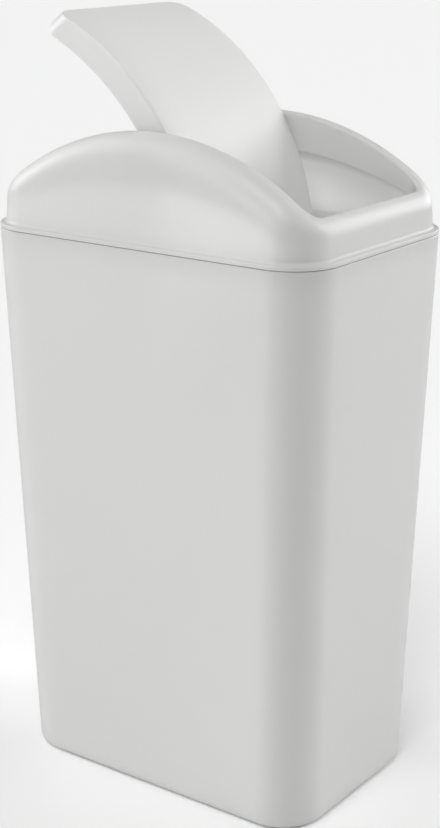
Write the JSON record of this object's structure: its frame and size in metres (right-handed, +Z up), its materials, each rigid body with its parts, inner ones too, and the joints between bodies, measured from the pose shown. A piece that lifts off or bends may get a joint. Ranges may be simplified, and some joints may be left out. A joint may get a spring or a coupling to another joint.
{
  "type": "countertop trash can with swing lid",
  "caption": "Slim tapered countertop bin with a lift-off domed lid frame and an arched flap that swings on two pins and tips either way.",
  "frame": {"origin": "middle of the footprint, on the surface the bin stands on", "axes": "+Z up, X along the bin's long side, Y along its short side; the flap is tipped up towards -X"},
  "size_m": [0.2118, 0.145, 0.4239],
  "materials": {
    "bin_plastic": "white moulded polypropylene, satin, with a fine spark-eroded grain",
    "lid_plastic": "white moulded polypropylene, satin",
    "flap_plastic": "white moulded polypropylene, satin"
  },
  "bodies": {
    "bin": {"bin_body": "bin_plastic"},
    "lid": {"lid_frame": "lid_plastic"},
    "flap": {"swing_flap": "flap_plastic"}
  },
  "joints": [
    {"name": "lid_lift", "type": "slide", "parent": "bin", "child": "lid", "axis": [0, 0, 1], "range_m": [0, 0.15]},
    {"name": "flap_swing", "type": "hinge", "parent": "lid", "child": "flap", "pos_m": [0, 0, 0.3562], "axis": [0, 1, 0], "continuous": true}
  ]
}
